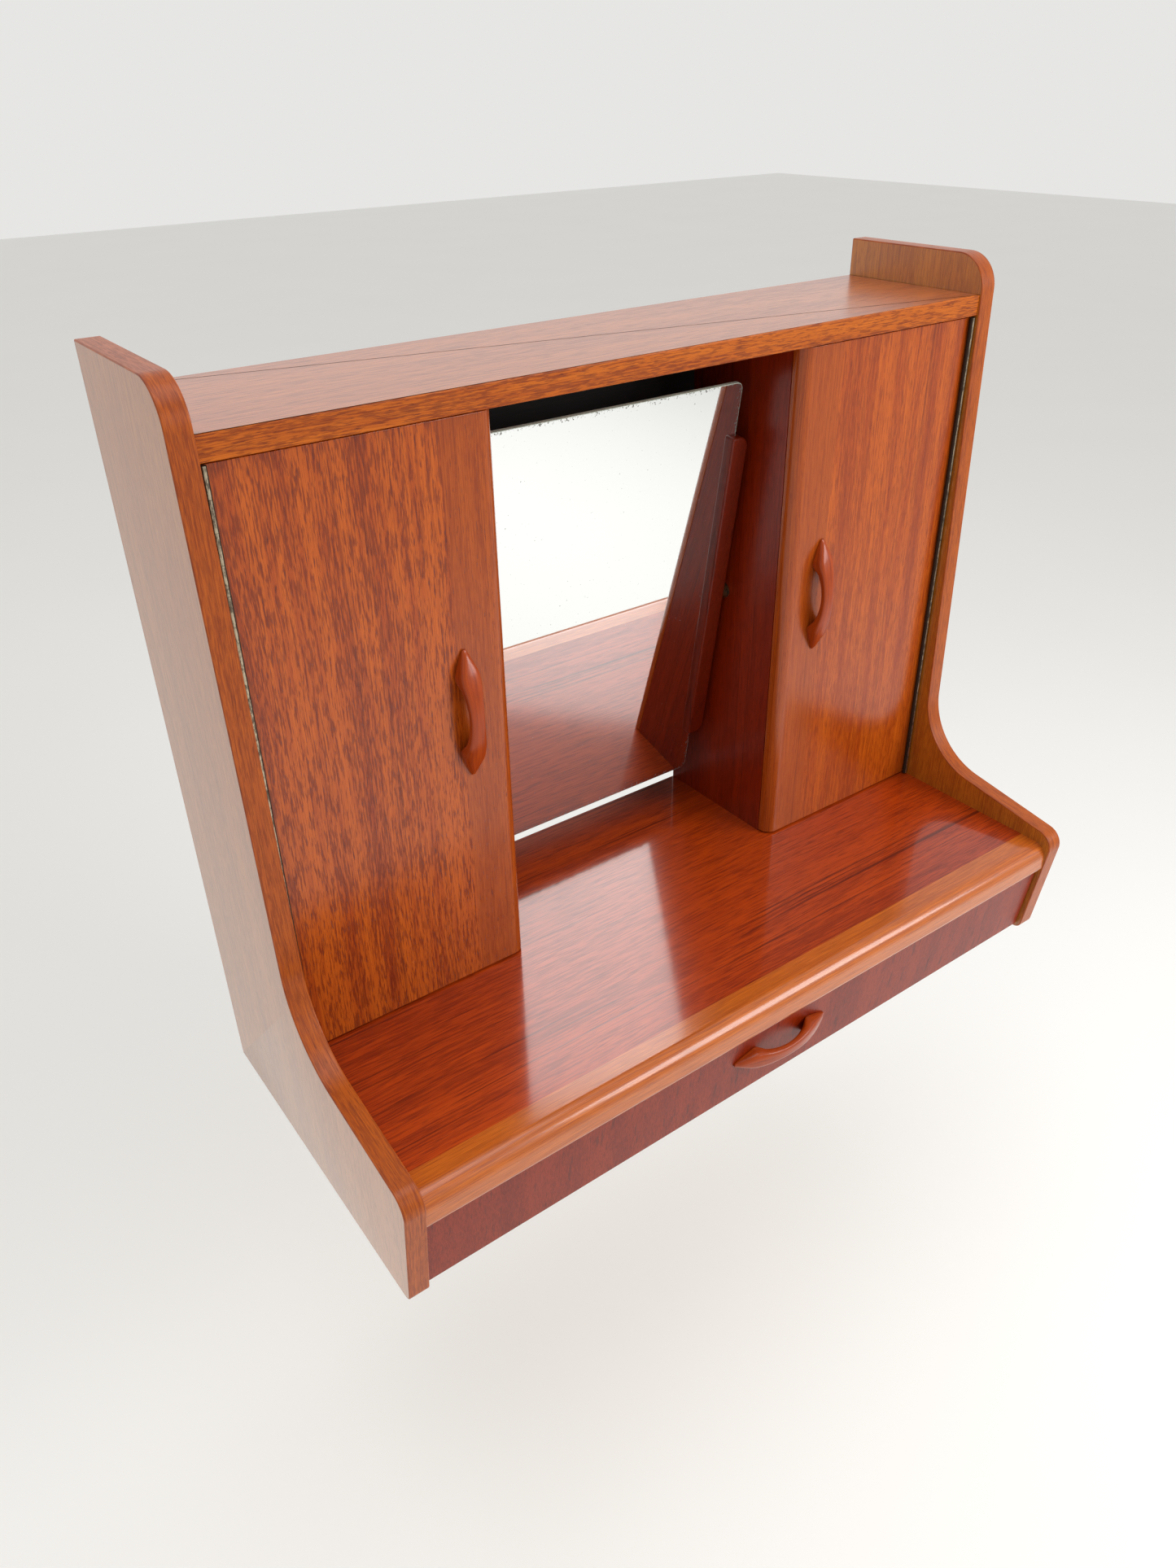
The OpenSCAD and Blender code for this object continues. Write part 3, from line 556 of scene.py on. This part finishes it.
def bow(length, half_width, waist, waist_radius, reach, tip, gap_length, gap_depth):
    """A bow handle along Y with its feet on the level Z = 0.

    Its half width is the smaller, rounded over, of a pointed leaf's and a hollow waist's. Its
    back is an arc from the tips to reach, and its underside is level at the feet and an arc over
    the finger gap. A section is a superellipse above and below its widest level, square against
    the door at the feet and round over the gap.
    """
    rings, around = 120, 40
    s = np.linspace(-1, 1, rings)
    y = (length / 2 - 0.4 * MM) * np.sin(s * math.pi / 2)
    leaf = arc_height(y, length / 2 + 3 * MM, half_width + 0.6 * MM)
    tip_radius = 5 * MM
    past_cap = np.maximum(np.abs(y) - (length / 2 - tip_radius), 0)
    cap = np.sqrt(np.maximum(tip_radius**2 - past_cap**2, 0))
    cap = np.where(past_cap > 0, cap, half_width)
    hollow = waist + waist_radius - np.sqrt(waist_radius**2 - y**2)
    sharpness = 2200.0
    wide = -np.log(np.exp(-sharpness * leaf) + np.exp(-sharpness * hollow)) / sharpness + 0.25 * MM
    widest = 11 * MM
    wide = np.minimum(np.minimum(wide, cap), widest)
    back = tip + arc_height(y, length / 2, reach - tip)
    back = back * (1 - 0.25 * smooth_step(np.abs(y), length / 2 - 6 * MM, length / 2))
    under = np.maximum(arc_height(y, gap_length / 2, gap_depth), 0)
    foot = smooth_step(np.abs(y), gap_length / 2 - 9 * MM, gap_length / 2 + 3 * MM)
    level = (1 - foot) * (back + under) / 2 + foot * (under + 1.6 * MM)
    upper = 3.8 - 1.8 * smooth_step(np.abs(y), length / 2 - 20 * MM, length / 2 - 3 * MM)
    lower = 2.6 + 6 * foot
    angle = np.linspace(0, 2 * math.pi, around, endpoint=False)
    c, sn = np.cos(angle)[None], np.sin(angle)[None]
    power = np.where(sn >= 0, 2 / upper[:, None], 2 / lower[:, None])
    x = wide[:, None] * np.sign(c) * np.abs(c) ** power
    height = np.where(sn >= 0, (back - level)[:, None], (level - under)[:, None])
    z = level[:, None] + height * np.sign(sn) * np.abs(sn) ** power
    grid = np.stack([x, np.broadcast_to(y[:, None], x.shape), z], -1)
    points = grid.reshape(-1, 3)
    j, i = np.meshgrid(np.arange(rings - 1), np.arange(around), indexing="ij")
    after = (i + 1) % around
    quads = np.stack([
        j * around + i, (j + 1) * around + i, (j + 1) * around + after, j * around + after], -1)
    quads = quads.reshape(-1, 4)
    first, last = np.arange(around), (rings - 1) * around + np.arange(around)[::-1]
    faces = [*quads, first, last]
    girth = 60 * MM
    turn = angle[i] / (2 * math.pi) * girth
    step = girth / around
    u = np.stack([y[j], y[j + 1], y[j + 1], y[j]], -1).reshape(-1)
    v = np.stack([turn, turn, turn + step, turn + step], -1).reshape(-1)
    uvs = np.concatenate([np.stack([u, v], 1), grid[0, :, [0, 2]].T, grid[-1, ::-1, [0, 2]].T])
    return points, faces, None, uvs, np.zeros(len(faces), int)


def placed(parts, turn, move):
    """The same mesh, turned by a matrix and moved."""
    points, faces, normals, uvs, finishes = parts
    normals = normals if normals is None else normals @ np.asarray(turn).T
    return points @ np.asarray(turn).T + move, faces, normals, uvs, finishes


# ---------------------------------------------------------------- pieces


class VANITY_OT_side_panels(bpy.types.Operator):
    """Build both side panels with their upright edge, hollow and flare"""

    bl_idname = "vanity.side_panels"
    bl_label = "Side panels"

    def execute(self, context):
        sizes = context.scene.vanity_sizes
        low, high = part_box("right_side_panel")
        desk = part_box("desk_top")[1][2]
        lean, fall, slant = (math.tan(a) for a in (FRONT_LEAN, FLARE_FALL, FRONT_SLANT))
        corner = desk + DESK_CORNER_RISE
        crook = -(TOP_DEPTH + (high[2] - corner - DESK_DEPTH * fall) * lean) / (1 - fall * lean)
        r = sizes.edge_round
        corners = [
            (0, low[2], r),
            (0, high[2], r),
            (-TOP_DEPTH, high[2], TOP_CORNER_RADIUS),
            (crook, corner + (DESK_DEPTH + crook) * fall, sizes.flare_radius),
            (-DESK_DEPTH, corner, DESK_CORNER_RADIUS),
            (-DESK_DEPTH + (corner - low[2]) * slant, low[2], FOOT_CORNER_RADIUS),
        ]
        for side in SIDES:
            low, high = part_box(f"{side}_side_panel")
            shift = (0.3, 0.7, 0.1) if side == "left" else (1.1, 0.2, 0.45)
            face = teak(f"{side}_panel_veneer", "upright", shift=shift, depth=1.0, warmth=1.4,
                        ribbon=0.4, flecks=0.42, lines=0.3, gloss=0.3, specular=0.5, coat=0.95,
                        coat_gloss=0.24)
            edge = teak(f"{side}_panel_edge", "level", follow_uv=True, shift=shift, depth=0.84,
                        warmth=0.9, ribbon=0.3, flecks=0.55, lines=0.3, gloss=0.3, specular=0.35)
            parts = slab(corners, low[0], high[0], r, SEEN_FROM_SIDE, 1.5 * MM)
            add_piece(f"{side}_side_panel_board", "carcass", f"{side}_side_panel",
                      parts, [face, edge])
        return {"FINISHED"}


class VANITY_OT_shelf_and_desk(bpy.types.Operator):
    """Build the top shelf and the desk's front lipping, and finish the desk board"""

    bl_idname = "vanity.shelf_and_desk"
    bl_label = "Shelf and desk"

    def execute(self, context):
        r = context.scene.vanity_sizes.edge_round
        low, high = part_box("top_shelf")
        corners = [
            (low[0], low[1], 0), (high[0], low[1], 0), (high[0], high[1], 0), (low[0], high[1], 0)]
        parts = slab(corners, low[2], high[2], r, SEEN_FROM_ABOVE, 0.5 * MM)
        top = teak("shelf_veneer", "level", shift=(0.2, 0.9, 0.3), depth=1.0, ribbon=0.5, flecks=0.7,
                   lines=0.0, gloss=0.34, specular=0.5, coat=1.0, coat_gloss=0.26, fleck_length=1.8)
        front = teak("shelf_edge", "level", shift=(0.5, 0.2, 0.9), depth=1.0, ribbon=0.6, flecks=0.9,
                     lines=0.6, gloss=0.34)
        add_piece("top_shelf_board", "carcass", "top_shelf", parts, [top, front])

        low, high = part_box("desk_front_lipping")
        corners = [
            (high[1], low[2], 0), (high[1], high[2], 0),
            (low[1], high[2], LIPPING_TOP_RADIUS), (low[1], low[2], LIPPING_FOOT_RADIUS)]
        parts = slab(corners, low[0], high[0], 0, SEEN_FROM_SIDE, 1.0 * MM)
        lipping = teak("lipping_wood", "level", shift=(0.6, 0.1, 0.8), depth=1.08, warmth=1.05, ribbon=0.3,
                       flecks=0.35, lines=0.2, gloss=0.3, specular=0.4, coat=0.7, coat_gloss=0.12,
                       fleck_length=2.0)
        add_piece("desk_front_lipping_board", "carcass", "desk_front_lipping",
                  parts, [lipping, lipping])

        desk = teak("desk_veneer", "level", shift=(0.05, 0.4, 0.2), depth=0.84, warmth=0.50, ribbon=0.45,
                    flecks=0.75, lines=1.5, gloss=0.34, specular=0.25, coat=0.75, coat_gloss=0.10,
                    fleck_length=2.2)
        give_finish(desk, "desk_top")
        return {"FINISHED"}


class VANITY_OT_dividers(bpy.types.Operator):
    """Finish the two dividers beside the niche"""

    bl_idname = "vanity.dividers"
    bl_label = "Dividers"

    def execute(self, context):
        # The dividers' teak is darker and redder than the doors': painted shade of the niche
        wood = teak("divider_veneer", "upright", shift=(0.5, 0.3, 0.9), depth=0.55, warmth=0.35,
                    ribbon=0.5, flecks=0.5, gloss=0.28, specular=0.4)
        give_finish(wood, "left_divider", "right_divider")
        return {"FINISHED"}


class VANITY_OT_doors(bpy.types.Operator):
    """Build the two cupboard doors with their rounded free edges"""

    bl_idname = "vanity.doors"
    bl_label = "Doors"

    def execute(self, context):
        sizes = context.scene.vanity_sizes
        r = DOOR_EDGE_ROUND
        low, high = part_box("right_door")
        face = high[1] - DOOR_THICKNESS
        for side in SIDES:
            corners = on_side(side, [
                (low[0], high[1], r),
                (low[0], face, sizes.door_edge_radius),
                (high[0], face, r),
                (high[0], high[1], r),
            ])
            shift = (0.75, 0.15, 0.35) if side == "left" else (0.1, 0.55, 0.6)
            wood = teak(f"{side}_door_veneer", "upright", shift=shift, depth=0.92, ribbon=1.0,
                        flecks=1.0 if side == "left" else 0.55, lines=0.7, gloss=0.20,
                        specular=0.5, warmth=0.80, edge_band=low[0] + DOOR_SOLID_EDGE)
            parts = slab(corners, low[2], high[2], r, SEEN_FROM_ABOVE, 1.2 * MM)
            add_piece(f"{side}_door_board", f"{side}_door", f"{side}_door",
                      parts, [wood, wood])
        return {"FINISHED"}


class VANITY_OT_drawer(bpy.types.Operator):
    """Build the slanted drawer front and finish the drawer box"""

    bl_idname = "vanity.drawer"
    bl_label = "Drawer"

    def execute(self, context):
        low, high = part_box("drawer_front")
        run = DRAWER_FRONT_THICKNESS / math.cos(FRONT_SLANT)
        slope = high[1] - low[1] - run
        r = DRAWER_EDGE_ROUND
        corners = [
            (low[1] + slope, low[2], r),
            (high[1], low[2], r),
            (low[1] + run, high[2], r),
            (low[1], high[2], r),
        ]
        parts = slab(corners, low[0], high[0], r, SEEN_FROM_SIDE, 0.5 * MM)
        wood = teak("drawer_veneer", "upright", shift=(0.9, 0.5, 0.7), depth=0.52, warmth=0.36,
                    ribbon=0.7, flecks=0.4, gloss=0.3, specular=0.25)
        add_piece("drawer_front_board", "drawer", "drawer_front", parts, [wood, wood])
        give_finish(plain_wood("drawer_side_wood", "deep"), "drawer_left_side", "drawer_right_side",
                    "left_drawer_runner", "right_drawer_runner")
        give_finish(plain_wood("drawer_board_wood", "level"), "drawer_back", "drawer_bottom")
        return {"FINISHED"}


class VANITY_OT_handles(bpy.types.Operator):
    """Build the three bow handles"""

    bl_idname = "vanity.handles"
    bl_label = "Handles"

    def execute(self, context):
        length = context.scene.vanity_sizes.handle_length
        shape = bow(length, HANDLE_HALF_WIDTH, HANDLE_WAIST, HANDLE_WAIST_RADIUS, HANDLE_REACH,
                    HANDLE_TIP, FINGER_GAP_LENGTH, FINGER_GAP_DEPTH)
        wood = teak("handle_wood", "level", follow_uv=True, depth=0.74, warmth=0.60, ribbon=0.3,
                    flecks=0.2, lines=0.3, gloss=0.3, specular=0.2, coat=0.3, coat_gloss=0.14)
        upright = np.array([[1, 0, 0], [0, 0, -1], [0, 1, 0]], float)
        for side in SIDES:
            low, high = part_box(f"{side}_door_handle")
            middle = np.array([(low[0] + high[0]) / 2, high[1], (low[2] + high[2]) / 2])
            parts = placed(shape, upright, middle)
            add_piece(f"{side}_door_handle_bow", f"{side}_door", f"{side}_door_handle",
                      parts, [wood])
        front_low, front_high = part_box("drawer_front")
        rise = front_low[2] + DRAWER_HANDLE_RISE
        face = front_low[1] + (front_high[2] - rise) * math.tan(FRONT_SLANT)
        back_lean = math.pi / 2 + FRONT_SLANT
        level = np.array([
            [0, -1, 0],
            [math.cos(back_lean), 0, -math.sin(back_lean)],
            [math.sin(back_lean), 0, math.cos(back_lean)]])
        parts = placed(shape, level, np.array([0, face, rise]))
        add_piece("drawer_handle_bow", "drawer", "drawer_handle", parts, [wood])
        return {"FINISHED"}


class VANITY_OT_mirror(bpy.types.Operator):
    """Build the tilted glass and its two battens, and finish the backing"""

    bl_idname = "vanity.mirror"
    bl_label = "Mirror"

    def execute(self, context):
        low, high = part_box("left_pivot_pin")
        pivot = np.array([0, (low[1] + high[1]) / 2, (low[2] + high[2]) / 2])
        turn = np.array([
            [1, 0, 0],
            [0, math.cos(MIRROR_TILT), -math.sin(MIRROR_TILT)],
            [0, math.sin(MIRROR_TILT), math.cos(MIRROR_TILT)]])

        def leaning(points, normals):
            """Leans points about the pivots."""
            return points @ turn.T + pivot, normals @ turn.T

        half_w, half_h, r = GLASS_HALF_WIDTH, GLASS_HALF_HEIGHT, GLASS_CORNER_RADIUS
        corners = [
            (-half_w, -half_h, r), (half_w, -half_h, r), (half_w, half_h, r), (-half_w, half_h, r)]
        parts = slab(corners, GLASS_BACK, GLASS_FRONT, GLASS_EDGE_ROUND, SEEN_FROM_FRONT, 0.8 * MM,
                     leaning)
        silver = silvering("mirror_silver", half_w, half_h * math.cos(MIRROR_TILT), pivot)
        edge = ground_glass_edge("mirror_edge")
        add_piece("mirror_glass_plate", "mirror", "mirror_glass", parts, [silver, edge])

        for side in SIDES:
            corners = on_side(side, [
                (BATTEN_INNER, -BATTEN_HALF_LENGTH, BATTEN_INNER_RADIUS),
                (BATTEN_OUTER, -BATTEN_HALF_LENGTH, BATTEN_CORNER_RADIUS),
                (BATTEN_OUTER, BATTEN_HALF_LENGTH, BATTEN_CORNER_RADIUS),
                (BATTEN_INNER, BATTEN_HALF_LENGTH, BATTEN_INNER_RADIUS)])
            wood = teak(f"{side}_batten_wood", "upright", shift=(0.2, 0.8, 0.4), depth=0.36,
                        warmth=0.35, ribbon=0.3, flecks=0.4, gloss=0.36, specular=0.35)
            parts = slab(corners, -BATTEN_HALF_DEPTH, BATTEN_HALF_DEPTH, BATTEN_EDGE_ROUND,
                         SEEN_FROM_FRONT, 1.0 * MM, leaning)
            add_piece(f"{side}_mirror_batten_bar", "mirror", f"{side}_mirror_batten",
                      parts, [wood, wood])
        give_finish(black_stain_and_shade("backing_board"), "mirror_backing")
        return {"FINISHED"}


class VANITY_OT_hardware(bpy.types.Operator):
    """Finish the hinges, pivots, pins, screws and catches"""

    bl_idname = "vanity.hardware"
    bl_label = "Hardware"

    def execute(self, context):
        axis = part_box("right_hinge_pin")
        # The hinge metal gets painted shade in the seams beside the knuckles' crowns
        nickel = worn_nickel("hinge_nickel", crown=((axis[0][0] + axis[1][0]) / 2, 1.2 * MM))
        dark_brass = worn_nickel("pivot_brass", (0.20, 0.13, 0.06), (0.03, 0.018, 0.01))
        brass = worn_nickel("screw_brass", (0.72, 0.50, 0.22), (0.28, 0.17, 0.06))
        for side in SIDES:
            give_finish(nickel, f"{side}_hinge_frame_leaf", f"{side}_hinge_door_leaf",
                        f"{side}_hinge_pin", f"{side}_hinge_frame_screws",
                        f"{side}_hinge_door_screws")
            give_finish(dark_brass, f"{side}_pivot_pin", f"{side}_pivot_bush", f"{side}_strike_plate")
            give_finish(brass, f"{side}_shelf_pins", f"{side}_handle_screws")
            give_finish(catch_plastic(f"{side}_catch_plastic"), f"{side}_catch")
        give_finish(brass, "runner_screws", "drawer_handle_screws")
        return {"FINISHED"}


class VANITY_OT_inner_boards(bpy.types.Operator):
    """Finish the rails, cupboard backs and loose shelves"""

    bl_idname = "vanity.inner_boards"
    bl_label = "Inner boards"

    def execute(self, context):
        give_finish(plain_wood("rail_wood", "level"), "left_hanging_rail", "right_hanging_rail",
                    "lower_back_rail", "left_loose_shelf", "right_loose_shelf")
        give_finish(plain_wood("back_panel_wood", "upright", 0.9),
                    "left_cupboard_back", "right_cupboard_back")
        # The centre rail's near black is painted shade, standing in for the deep shade behind the mirror's
        # top
        give_finish(black_stain_and_shade("centre_rail_painted_shade"), "centre_rail")
        return {"FINISHED"}


# ---------------------------------------------------------------- stage


def plane(name, points):
    """A flat stage piece with four corners."""
    mesh = bpy.data.meshes.new(name)
    mesh.from_pydata([tuple(p) for p in points], [], [(0, 1, 2, 3)])
    obj = bpy.data.objects.new(name, mesh)
    bpy.context.scene.collection.objects.link(obj)
    return obj


class VANITY_OT_stage(bpy.types.Operator):
    """Set up the pale floor, the soft light and the camera"""

    bl_idname = "vanity.stage"
    bl_label = "Stage"

    def execute(self, context):
        scene = context.scene
        pale = scene.vanity_colours.surroundings
        scene.view_settings.view_transform = "Standard"

        world = bpy.data.worlds.new("studio")
        world.use_nodes = True
        self.light_world(world, pale)
        scene.world = world

        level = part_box("lower_back_rail")[0][2] - FLOOR_DROP
        half = FLOOR_HALF_WIDTH
        floor = plane("floor", [
            (-half, -half, level), (half, -half, level), (half, half, level), (-half, half, level)])
        paint = Finish("floor_paint")
        cloud = paint.noise(paint.place(), (1.5, 1.5, 1.5), 2.0)
        floor.data.materials.append(paint.surface(
            Base_Color=paint.blend(cloud, scaled(pale, 1.14), scaled(pale, 1.17)), Roughness=0.8))

        # Stands in for the wall behind the niche: the camera doesn't see it, but it shades and reflects
        low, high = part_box("left_divider")[1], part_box("right_divider")[0]
        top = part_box("centre_rail")[0][2]
        back = 1 * MM
        board = plane("niche_shade", [
            (low[0], back, high[2]), (high[0], back, high[2]),
            (high[0], back, top), (low[0], back, top)])
        board.visible_camera = False
        shade = Finish("niche_shade_paint")
        board.data.materials.append(shade.surface(Base_Color=scaled(pale, 0.9), Roughness=0.9))

        self.soft_light("window", (1.35, -2.15, 0.75), (0, -0.15, -0.25), 1.3, 1.2, 38)
        self.soft_light("ceiling_bounce", (-0.3, -0.6, 2.6), (0, -0.1, 0), 2.4, 2.0, 26)

        data = bpy.data.cameras.new("camera")
        data.sensor_width = 36
        data.lens = CAMERA_LENS
        camera = bpy.data.objects.new("camera", data)
        camera.location = CAMERA_PLACE
        camera.rotation_mode = "QUATERNION"
        flat = math.cos(CAMERA_FALL)
        aim = Vector((
            flat * math.sin(CAMERA_HEADING), flat * math.cos(CAMERA_HEADING), -math.sin(CAMERA_FALL)))
        level_turn = aim.to_track_quat("-Z", "Y")
        camera.rotation_quaternion = level_turn @ Euler((0, 0, CAMERA_ROLL)).to_quaternion()
        scene.collection.objects.link(camera)
        scene.camera = camera
        return {"FINISHED"}

    def light_world(self, world, pale):
        """Pale behind the piece and dimmer on the side that it faces."""
        tree = world.node_tree
        coordinates = tree.nodes.new("ShaderNodeTexCoord")
        split = tree.nodes.new("ShaderNodeSeparateXYZ")
        fade = tree.nodes.new("ShaderNodeMapRange")
        fade.interpolation_type = "SMOOTHSTEP"
        mix = tree.nodes.new("ShaderNodeMix")
        mix.data_type = "RGBA"
        fade.inputs["From Min"].default_value = -0.7
        fade.inputs["From Max"].default_value = 0.3
        mix.inputs[6].default_value = (*scaled(pale, 0.70), 1)
        mix.inputs[7].default_value = (*pale, 1)
        tree.links.new(coordinates.outputs["Generated"], split.inputs[0])
        tree.links.new(split.outputs[1], fade.inputs["Value"])
        tree.links.new(fade.outputs[0], mix.inputs[0])
        tree.links.new(mix.outputs[2], tree.nodes["Background"].inputs["Color"])

    def soft_light(self, name, place, target, width, height, power):
        """A rectangular lamp at one place, aimed at another."""
        data = bpy.data.lights.new(name, "AREA")
        data.shape, data.size, data.size_y, data.energy = "RECTANGLE", width, height, power
        lamp = bpy.data.objects.new(name, data)
        lamp.location = place
        lamp.rotation_mode = "QUATERNION"
        lamp.rotation_quaternion = (Vector(target) - Vector(place)).to_track_quat("-Z", "Y")
        bpy.context.scene.collection.objects.link(lamp)


STEPS = (
    VANITY_OT_stage,
    VANITY_OT_side_panels,
    VANITY_OT_shelf_and_desk,
    VANITY_OT_dividers,
    VANITY_OT_doors,
    VANITY_OT_drawer,
    VANITY_OT_handles,
    VANITY_OT_mirror,
    VANITY_OT_hardware,
    VANITY_OT_inner_boards,
)


class VANITY_PT_sidebar(bpy.types.Panel):
    """Lists the vanity's sizes, colours and building steps"""

    bl_idname = "VANITY_PT_sidebar"
    bl_label = "Teak Vanity"
    bl_space_type = "VIEW_3D"
    bl_region_type = "UI"
    bl_category = "Vanity"

    def draw(self, context):
        for group in (context.scene.vanity_sizes, context.scene.vanity_colours):
            for key in group.__annotations__:
                self.layout.prop(group, key)
        for step in STEPS:
            self.layout.operator(step.bl_idname)


CLASSES = (VanitySizes, VanityColours, *STEPS, VANITY_PT_sidebar)


def register():
    for cls in CLASSES:
        bpy.utils.register_class(cls)
    bpy.types.Scene.vanity_sizes = PointerProperty(type=VanitySizes)
    bpy.types.Scene.vanity_colours = PointerProperty(type=VanityColours)


def unregister():
    del bpy.types.Scene.vanity_sizes
    del bpy.types.Scene.vanity_colours
    for cls in reversed(CLASSES):
        bpy.utils.unregister_class(cls)


def main():
    register()
    for step in STEPS:
        group, name = step.bl_idname.split(".")
        getattr(getattr(bpy.ops, group), name)()


if __name__ == "__main__":
    main()
